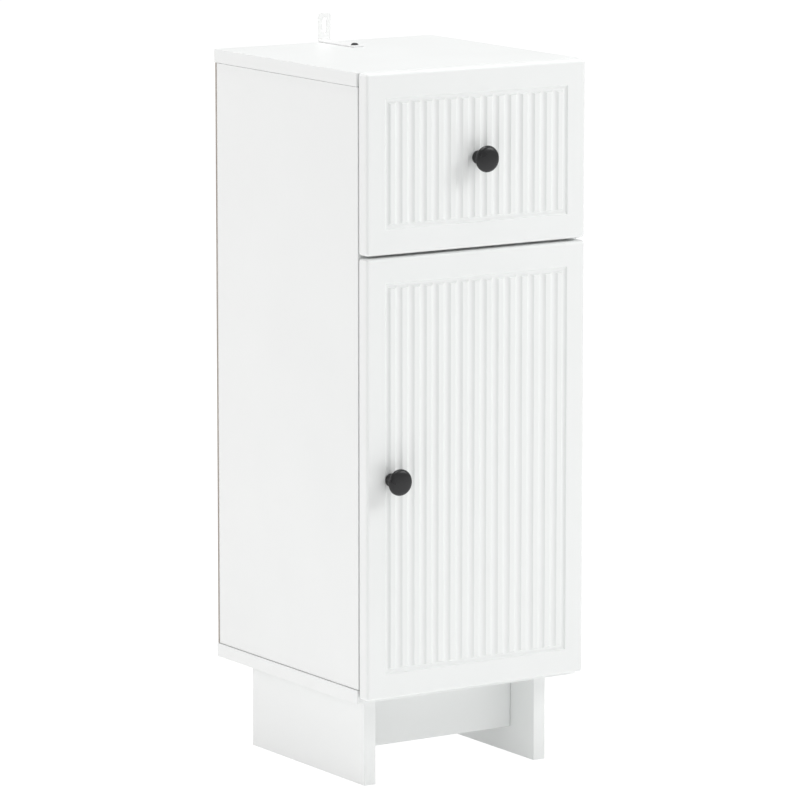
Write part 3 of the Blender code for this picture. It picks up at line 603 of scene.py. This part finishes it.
def groove_section(width, depth, lip_round, arc_steps=22, lip_steps=4):
    """(across, deep) points of a cove with rounded lips, closed above the face."""
    radius = (width * width / 4 + depth * depth) / (2 * depth)
    above = radius - depth
    lip_x = math.sqrt((radius + lip_round) ** 2 - (above + lip_round) ** 2)
    reach = math.atan2(lip_x, above + lip_round)
    lip = [(lip_x - lip_round * math.sin(reach * step / lip_steps),
            lip_round - lip_round * math.cos(reach * step / lip_steps))
           for step in range(1, lip_steps)]
    half = math.asin((lip_x - lip_round * math.sin(reach)) / radius)
    cove = [(radius * math.sin(half * (1 - 2 * step / arc_steps)),
             radius * math.cos(half * (1 - 2 * step / arc_steps)) - above)
            for step in range(arc_steps + 1)]
    right = [(lip_x, -CUTTER_HEAD), (lip_x, -FACE_LIFT)] + lip
    return right + cove + [(-x, deep) for x, deep in reversed(right)]


def border_cutter(low, high):
    """A rectangle's outline, drawn along the groove's section with square mitres, then closed."""
    section = groove_section(BORDER_WIDTH, BORDER_DEPTH, BORDER_LIP)
    section = section + section[:1]
    middle = (low + high) / 2
    half_x = (high.x - low.x) / 2 - BORDER_MARGIN_X - BORDER_WIDTH / 2
    half_z = (high.z - low.z) / 2 - BORDER_MARGIN_Z - BORDER_WIDTH / 2
    bpy.ops.object.select_all(action="DESELECT")
    bpy.ops.mesh.primitive_plane_add(size=1, rotation=(math.pi / 2, 0, 0),
                                     location=(middle.x, low.y + section[0][1], middle.z))
    piece = settle("border_cutter")
    open_mesh(piece, "EDGE")
    bpy.ops.mesh.select_all(action="SELECT")
    bpy.ops.mesh.delete(type="ONLY_FACE")
    bpy.ops.mesh.select_all(action="SELECT")
    bpy.ops.transform.resize(value=(2 * (half_x + section[0][0]), 1, 2 * (half_z + section[0][0])),
                             center_override=(middle.x, low.y + section[0][1], middle.z))
    for (across, deep), (next_across, next_deep) in zip(section, section[1:]):
        bpy.ops.mesh.extrude_region_move(TRANSFORM_OT_translate={"value": (0, next_deep - deep, 0)})
        bpy.ops.transform.resize(value=((half_x + next_across) / (half_x + across), 1,
                                        (half_z + next_across) / (half_z + across)),
                                 center_override=(middle.x, low.y + next_deep, middle.z))
    bpy.ops.mesh.select_all(action="SELECT")
    bpy.ops.mesh.remove_doubles(threshold=WELD)
    bpy.ops.mesh.normals_make_consistent(inside=False)
    close_mesh()
    return piece


def flute_cutters(low, high):
    """Upright bars with the flute's section, from the border's middle line to its far side."""
    inset = BORDER_MARGIN_Z + BORDER_WIDTH / 2
    left = (low.x + high.x) / 2 - (FLUTES - 1) / 2 * FLUTE_PITCH
    section = groove_section(FLUTE_WIDTH, FLUTE_DEPTH, FLUTE_LIP)
    bar = draw_line("flute_cutter", [(left + x, low.y + deep, low.z + inset)
                                     for x, deep in section + section[:1]])
    bpy.ops.mesh.edge_face_add()
    bpy.ops.mesh.extrude_region_move(TRANSFORM_OT_translate={"value": (0, 0, high.z - low.z - 2 * inset)})
    bpy.ops.mesh.select_all(action="SELECT")
    bpy.ops.mesh.normals_make_consistent(inside=False)
    close_mesh()
    bars = [bar] + [copy_piece(bar, "flute_cutter", (index * FLUTE_PITCH, 0, 0))
                    for index in range(1, FLUTES)]
    return join_pieces(bars, "flute_cutters")


def add_front(name, node, bores):
    """A routed and foiled front, bored from behind for its fittings."""
    low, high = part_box(node)
    front = add_block(name, low, high)
    ease_edges(front, FRONT_ROUND, 7,
               lambda edge: min(vert.co.y for vert in edge.verts) < low.y + MM)
    ease_edges(front, REAR_ROUND, 3,
               lambda edge: all(vert.co.y > high.y - 0.01 * MM for vert in edge.verts))
    cut(front, [border_cutter(low, high), flute_cutters(low, high)])
    return cut(front, bores)


def knob_bore(knob_node, front_node):
    """The hole through a front for its knob's screw."""
    low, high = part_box(knob_node)
    front_low, front_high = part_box(front_node)
    x, z = (low.x + high.x) / 2, (low.z + high.z) / 2
    return add_bar("bore", (x, front_low.y - MM, z), (x, front_high.y + MM, z), KNOB_BORE_RADIUS)


cup_middles = {}
for level in ("lower", "upper"):
    low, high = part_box(f"hinge_cup_{level}")
    cup_middles[level] = Vector(((low.x + high.x) / 2, low.y, (low.z + high.z) / 2))
door_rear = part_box("door_panel")[1].y
cup_bores = [add_bar("bore", (place.x, place.y - PLAY, place.z), (place.x, door_rear + MM, place.z),
                     CUP_BORE_RADIUS, 64) for place in cup_middles.values()]
fit(add_front("fluted_drawer_front", "drawer_front", [knob_bore("drawer_knob", "drawer_front")]), foil,
    "drawer_front")
fit(add_front("fluted_door", "door_panel", [knob_bore("door_knob", "door_panel")] + cup_bores), foil,
    "door_panel")

# ---------------------------------------------------------------- knobs
# Turned zinc knobs, powder coated satin black: a domed cap on a waisted neck that flares into a
# round foot. A machine screw through the front holds each from behind.
KNOB = ((0, 23.5), (3, 23.46), (6, 23.33), (9, 23.05), (11, 22.65), (12.3, 22.1), (13.3, 21.35),
        (14.05, 20.3), (14.45, 19.1), (14.35, 18), (13.7, 17.1), (12, 16.3), (9.4, 15.4), (7.4, 14.2),
        (6, 12.7), (5.35, 11), (5.2, 9.2), (5.4, 7.2), (6, 5.2), (6.9, 3.8), (7.3, 2.6), (7.3, 0.6),
        (7.1, 0.3), (2.3, 0.3), (2.3, 12), (0, 12))   # (radius, height) in mm, cap to screw hole
black_coat = coating("black_powder_coat", ((0.013, 0.0132, 0.0142), (0.019, 0.0193, 0.0204)), (0.26, 0.36),
                     (0.25, 0.12 * MM), grain_scale=1500, cloud_scale=60, speck_scale=900,
                     speck_tone=(0.032, 0.032, 0.034))
black_coat.node_tree.nodes["Principled BSDF"].inputs["IOR"].default_value = 1.42
for name in ("drawer", "door"):
    low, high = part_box(f"{name}_knob")
    seat = Vector(((low.x + high.x) / 2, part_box("door_panel")[0].y, (low.z + high.z) / 2))
    fit(turn_piece(f"{name}_pull", KNOB, seat, -Y_AXIS, 64), black_coat, f"{name}_knob")
    screw_seat = Vector((seat.x, door_rear + PLAY, seat.z))
    fit(pan_screw(f"{name}_pull_screw", screw_seat, Y_AXIS, 4 * MM, 1.9 * MM), zinc, f"{name}_knob_screw")

# ---------------------------------------------------------------- bumpers
# Small clear rubber domes, moulded with a flat foot and stuck to the rear of each front, so that it
# closes without a knock.
rubber = coating("clear_rubber", ((0.78, 0.79, 0.79), (0.72, 0.73, 0.73)), (0.25, 0.4), (0.1, 0.1 * MM),
                 grain_scale=900, cloud_scale=200)
rubber.node_tree.nodes["Principled BSDF"].inputs["Transmission Weight"].default_value = 0.55
for node in [name for name in BODY_OF if "bumper" in name]:
    low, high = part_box(node)
    middle = (low + high) / 2
    pad = turn_piece(node.replace("bumper", "pad"), ((0, 1.4), (1.8, 1.35), (3, 1.1), (3.7, 0.6), (4, 0),
                                                     (0, 0)), (middle.x, low.y, middle.z), Y_AXIS, 32)
    fit(pad, rubber, node)

# ---------------------------------------------------------------- concealed hinges
# Nickel-plated pressed steel. A cup is let into the door and screwed down by its two wings; the arm
# slides on a plate on the side panel, and a bent link joins them from a pin between the arm's cheeks.
LINK_REACH = 18.4 * MM             # from the arm's pin to the link's far end
LINK_ANGLE = math.radians(-147.2)
LINK_HALF = 5 * MM
LINK_SHEET = 1.6 * MM
LINK_BOW = 4 * MM
LINK_BEND_AT = 0.7                 # share of the link's length
SHELL_RIM = 18.9 * MM              # outer and inner radius of the cup's flange
SHELL_MOUTH = 16.1 * MM
WING_HALF_X, WING_HALF_Z = 6 * MM, 30 * MM
WING_SCREW = 24 * MM               # from the cup's middle
PLATE_THICK = 3 * MM
PLATE_Y = (24 * MM, 56 * MM)       # this and the next four lie behind the case's front edge
EARS_Y = (33 * MM, 43 * MM)
ARM_Y = (5 * MM, 58 * MM)
WINDOW_Y = (40 * MM, 54 * MM)
BASE_SCREW_Y = 38 * MM
PLATE_HALF, EARS_HALF, ARM_HALF, WINDOW_HALF = 8 * MM, 24 * MM, 7 * MM, 3 * MM
BASE_SCREW_Z = 19 * MM
ARM_REACH = 11 * MM
WINDOW_DEPTH = 1.2 * MM
PIVOT_INSET = 5.5 * MM
ARM_SCREWS = ((18, 0, 2.6), (47, 1.2, 2.7))   # (from the front, depth, head radius) in mm
panel_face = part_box("side_panel_right")[0].x - PLAY
case_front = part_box("side_panel_right")[0].y
nickel = coating("nickel_plate", ((0.74, 0.735, 0.72), (0.66, 0.655, 0.64)), (0.18, 0.32), (0.08, 0.1 * MM),
                 grain_scale=1400, cloud_scale=110, metallic=1.0)


def fuse(piece, tools):
    """Fuses other shapes onto a piece and uses them up."""
    return cut(piece, tools, "UNION")


for level, cup in cup_middles.items():
    z = cup.z
    shell = turn_piece(f"{level}_hinge_bowl", ((0, 0), (15.6, 0), (16.8, 0.5), (17.2, 1.6), (17.2, 11.5),
                                               (16.2, 11.5), (16, 2.2), (15, 1), (0, 1)), cup, Y_AXIS, 56)
    wing = add_block("wing", (cup.x - WING_HALF_X, door_rear + PLAY, z - WING_HALF_Z),
                     (cup.x + WING_HALF_X, door_rear + MM, z + WING_HALF_Z))
    ease_edges(wing, 4.5 * MM, 6, lambda edge: abs(edge.verts[0].co.y - edge.verts[1].co.y) > 0.5 * MM)
    rim = add_bar("rim", (cup.x, door_rear + PLAY, z), (cup.x, door_rear + MM, z), SHELL_RIM, 56)
    fuse(wing, [rim])
    cut(wing, [add_bar("mouth", (cup.x, door_rear - MM, z), (cup.x, door_rear + 2 * MM, z),
                       SHELL_MOUTH, 56)])
    shell = join_pieces([shell, wing], f"{level}_hinge_bowl")
    fit(shell, nickel, f"hinge_cup_{level}")
    wing_screws = [pan_screw("screw", (cup.x, door_rear + MM, z + way * WING_SCREW), Y_AXIS, 3.3 * MM,
                             0.7 * MM) for way in (-1, 1)]
    fit(join_pieces(wing_screws, f"{level}_bowl_screws"), zinc, body="door", slot="zinc_plate")

    plate = add_block(f"{level}_hinge_base",
                      (panel_face - PLATE_THICK, case_front + PLATE_Y[0], z - PLATE_HALF),
                      (panel_face, case_front + PLATE_Y[1], z + PLATE_HALF))
    ease_edges(plate, 2 * MM, 4, lambda edge: abs(edge.verts[0].co.x - edge.verts[1].co.x) > MM)
    ears = add_block("ears", (panel_face - 2 * MM, case_front + EARS_Y[0], z - EARS_HALF),
                     (panel_face, case_front + EARS_Y[1], z + EARS_HALF))
    ease_edges(ears, 4.5 * MM, 6, lambda edge: abs(edge.verts[0].co.x - edge.verts[1].co.x) > MM)
    fit(fuse(plate, [ears]), nickel, f"hinge_plate_{level}")
    base_screws = [pan_screw("screw", (panel_face - 2 * MM, case_front + BASE_SCREW_Y,
                                       z + way * BASE_SCREW_Z), -X_AXIS, 3.6 * MM, 1.5 * MM)
                   for way in (-1, 1)]
    fit(join_pieces(base_screws, f"{level}_base_screws"), zinc, body="cabinet", slot="zinc_plate")

    pivot = Vector((panel_face + PLAY - PIVOT_INSET, case_front - MM, z))
    arm_far, arm_near = panel_face - ARM_REACH, panel_face - PLATE_THICK - PLAY
    arm = add_block(f"{level}_hinge_arm_body", (arm_far, case_front + ARM_Y[0], z - ARM_HALF),
                    (arm_near, case_front + ARM_Y[1], z + ARM_HALF))
    ease_edges(arm, 2 * MM, 5, lambda edge: all(vert.co.x < arm_far + MM for vert in edge.verts))
    cheeks = []
    for way in (-1, 1):
        cheek = add_block("cheek", (pivot.x - 3 * MM, pivot.y - 2.6 * MM, z + way * (LINK_HALF + PLAY)),
                          (pivot.x + 2.5 * MM, case_front + 9 * MM, z + way * (LINK_HALF + 2 * MM)))
        ease_edges(cheek, 2 * MM, 5, lambda edge: all(vert.co.y < pivot.y for vert in edge.verts)
                   and abs(edge.verts[0].co.z - edge.verts[1].co.z) > MM)
        cheeks.append(cheek)
    pin = turn_piece("pin", ((0, -6.9), (1.2, -6.9), (1.2, 6.9), (0, 6.9)), pivot, Z_AXIS, 24)
    window = add_block("window", (arm_far - MM, case_front + WINDOW_Y[0], z - WINDOW_HALF),
                       (arm_far + WINDOW_DEPTH, case_front + WINDOW_Y[1], z + WINDOW_HALF))
    fuse(arm, cheeks)
    cut(arm, [window])
    arm = join_pieces([arm, pin], f"{level}_hinge_arm_body")
    fit(arm, nickel, f"hinge_arm_{level}")
    arm_screws = [pan_screw("screw", (arm_far + depth * MM, case_front + y * MM, z), -X_AXIS,
                            radius * MM, 0.9 * MM) for y, depth, radius in ARM_SCREWS]
    fit(join_pieces(arm_screws, f"{level}_arm_screws"), zinc, body="cabinet", slot="zinc_plate")

    along = Vector((math.cos(LINK_ANGLE), math.sin(LINK_ANGLE), 0))
    bend = pivot + LINK_REACH * LINK_BEND_AT * along - LINK_BOW * Z_AXIS.cross(along)
    tip = pivot + LINK_REACH * along
    first = (bend - pivot).normalized()
    path = [point - LINK_HALF * Z_AXIS for point in (pivot + first * 1.9 * MM, bend, tip)]
    link = bend_sheet(f"{level}_hinge_bar", path, (0, 0, 2 * LINK_HALF), LINK_SHEET, 1.6 * MM, 5)
    eye = turn_piece("eye", ((1.5, -5), (2.6, -5), (2.6, 5), (1.5, 5), (1.5, -5)), pivot, Z_AXIS, 28)
    roll = turn_piece("roll", ((0, -5), (1.1, -5), (1.1, 5), (0, 5)), tip, Z_AXIS, 20)
    link = join_pieces([link, eye, roll], f"{level}_hinge_bar")
    fit(link, nickel, f"hinge_link_{level}")

# ---------------------------------------------------------------- wall strap
# A narrow strip of painted steel, bent square: one leg is screwed to the top board, and the slot in
# the upright leg takes a wall screw, so that the cabinet can't tip.
STRAP_THICK = 1.5 * MM
STRAP_BEND = 1.8 * MM
STRAP_CORNER = 3 * MM
SLOT_HALF = 2.9 * MM
SLOT_ENDS = (12.4 * MM, 23.6 * MM)   # middles of the slot's round ends, above the top board
SCREW_HOLE_RADIUS = 2.3 * MM
SCREW_RISE = 2.1 * MM
white_paint = coating("white_paint", ((0.925, 0.93, 0.925), (0.905, 0.91, 0.907)), (0.3, 0.42),
                      (0.2, 0.12 * MM), grain_scale=1200, cloud_scale=70)
strap_low, strap_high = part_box("wall_strap")
middle_z = strap_low.z + STRAP_THICK / 2
rear = strap_high.y - STRAP_THICK / 2
half_width = (strap_high.x - strap_low.x) / 2
strap = bend_sheet("wall_strip", [(-half_width, strap_low.y, middle_z), (-half_width, rear, middle_z),
                                  (-half_width, rear, strap_high.z)],
                   (2 * half_width, 0, 0), STRAP_THICK, STRAP_BEND, 5)


def strap_corner(edge):
    """The four short edges at the strip's two ends."""
    middle = (edge.verts[0].co + edge.verts[1].co) / 2
    at_side = abs(abs(middle.x) - half_width) < 0.1 * MM
    at_end = middle.y < strap_low.y + 0.1 * MM or middle.z > strap_high.z - 0.1 * MM
    long_way = (edge.verts[0].co - edge.verts[1].co).length
    return at_side and at_end and abs(long_way - STRAP_THICK) < 0.2 * MM


ease_edges(strap, STRAP_CORNER, 6, strap_corner)
slot_tools = [add_bar("slot_end", (0, rear - 3 * MM, top_z + z), (0, rear + 3 * MM, top_z + z), SLOT_HALF)
              for z in SLOT_ENDS]
slot_tools.append(add_block("slot_middle", (-SLOT_HALF, rear - 3 * MM, top_z + SLOT_ENDS[0]),
                            (SLOT_HALF, rear + 3 * MM, top_z + SLOT_ENDS[1])))
slot_tools.append(add_bar("screw_hole", (0, strap_screw_y, middle_z - 3 * MM),
                          (0, strap_screw_y, middle_z + 3 * MM), SCREW_HOLE_RADIUS))
cut(strap, slot_tools)
fit(strap, white_paint, "wall_strap")

seat_z = strap_low.z + STRAP_THICK + PLAY / 2
strap_screw = turn_piece("strap_screw", ((0, 2.1), (1.9, 1.95), (3.2, 1.4), (3.95, 0.5), (4.1, 0), (1.7, 0),
                                         (1.7, -9.8), (0, -11.8)), (0, strap_screw_y, seat_z), Z_AXIS, 40)
cut(strap_screw, cross_slot((0, strap_screw_y, seat_z + SCREW_RISE), Z_AXIS, 3.8 * MM, 0.9 * MM, 1.3 * MM))
fit(strap_screw, black_coat, "wall_strap_screw")

# ---------------------------------------------------------------- studio
# A white floor and backdrop, five square soft lights and a long lens. The floor and the air are white
# to the camera and dimmer to the cabinet. The lights stand front right, left, front, above, rear left.
FLOOR_SIZE = 40
FLOOR_DROP = 0.2 * MM              # keeps the floor off the legs' feet
FLOOR_LIGHT = 0.335                # how bright the floor is to the cabinet
FLOOR_GLOW, GLOW_SHARE = 1.1, 0.9  # the glow that the camera sees, and its share over the floor's own light
AIR_LIGHT = 0.45
SOFTBOX_SIZE = 1.6
SOFTBOX_TARGET = Vector((0, 0, 0.4))
ROSY = (1, 0.967, 0.972)
PLAIN = (1, 1, 1)
SOFTBOXES = (("key_softbox", (2.2, -2.2, 2.4), 45, PLAIN),
             ("left_softbox", (-3, 0.5, 1.4), 16, ROSY),
             ("front_softbox", (-0.4, -3.5, 1.2), 3, PLAIN),
             ("top_softbox", (0, 0, 3.4), 44, PLAIN),
             ("rear_softbox", (-2.2, 2.2, 1.8), 13, ROSY))   # name, place, watts, tint
CAMERA_PLACE = Vector((-3.2197, -4.9791, 1.4037))
CAMERA_TARGET = Vector((-0.0088, -0.0036, 0.4005))
CAMERA_LENS = 246.3

bpy.context.scene.view_settings.view_transform = "Standard"
bpy.ops.object.select_all(action="DESELECT")
bpy.ops.mesh.primitive_plane_add(size=FLOOR_SIZE, location=(0, 0, -FLOOR_DROP))
floor = settle("studio_floor")
paper = bpy.data.materials.new("studio_paper")
paper.use_nodes = True
sheet_nodes = paper.node_tree
matt = sheet_nodes.nodes["Principled BSDF"]
matt.inputs["Roughness"].default_value = 0.9
matt.inputs["Base Color"].default_value = (0.8, 0.8, 0.8, 1)
matt.inputs["Emission Color"].default_value = (1, 1, 1, 1)
matt.inputs["Emission Strength"].default_value = FLOOR_LIGHT
glow = sheet_nodes.nodes.new("ShaderNodeEmission")
glow.inputs["Strength"].default_value = FLOOR_GLOW
share = sheet_nodes.nodes.new("ShaderNodeMath")
share.operation = "MULTIPLY"
share.inputs[1].default_value = GLOW_SHARE
blend = sheet_nodes.nodes.new("ShaderNodeMixShader")
seen = sheet_nodes.nodes.new("ShaderNodeLightPath")
sheet_nodes.links.new(seen.outputs["Is Camera Ray"], share.inputs[0])
sheet_nodes.links.new(share.outputs["Value"], blend.inputs[0])
sheet_nodes.links.new(matt.outputs["BSDF"], blend.inputs[1])
sheet_nodes.links.new(glow.outputs["Emission"], blend.inputs[2])
sheet_nodes.links.new(blend.outputs["Shader"], sheet_nodes.nodes["Material Output"].inputs["Surface"])
floor.data.materials.append(paper)

world = bpy.data.worlds.new("studio_air")
bpy.context.scene.world = world
world.use_nodes = True
air = world.node_tree
room = air.nodes["Background"]
room.inputs["Color"].default_value = (1, 1, 1, 1)
room.inputs["Strength"].default_value = AIR_LIGHT
backdrop = air.nodes.new("ShaderNodeBackground")
backdrop.inputs["Color"].default_value = (1, 1, 1, 1)
seen = air.nodes.new("ShaderNodeLightPath")
choice = air.nodes.new("ShaderNodeMixShader")
air.links.new(seen.outputs["Is Camera Ray"], choice.inputs[0])
air.links.new(room.outputs["Background"], choice.inputs[1])
air.links.new(backdrop.outputs["Background"], choice.inputs[2])
air.links.new(choice.outputs["Shader"], air.nodes["World Output"].inputs["Surface"])

for name, place, power, tint in SOFTBOXES:
    way = SOFTBOX_TARGET - Vector(place)
    bpy.ops.object.light_add(type="AREA", location=place,
                             rotation=way.to_track_quat("-Z", "Y").to_euler())
    lamp = bpy.context.object
    lamp.name = name
    lamp.data.shape = "SQUARE"
    lamp.data.size = SOFTBOX_SIZE
    lamp.data.energy = power
    lamp.data.color = tint

bpy.ops.object.camera_add(location=CAMERA_PLACE,
                          rotation=(CAMERA_TARGET - CAMERA_PLACE).to_track_quat("-Z", "Y").to_euler())
camera = bpy.context.object
camera.name = "studio_camera"
camera.data.lens = CAMERA_LENS
camera.data.sensor_width = 36
camera.data.clip_end = 100
bpy.context.scene.camera = camera
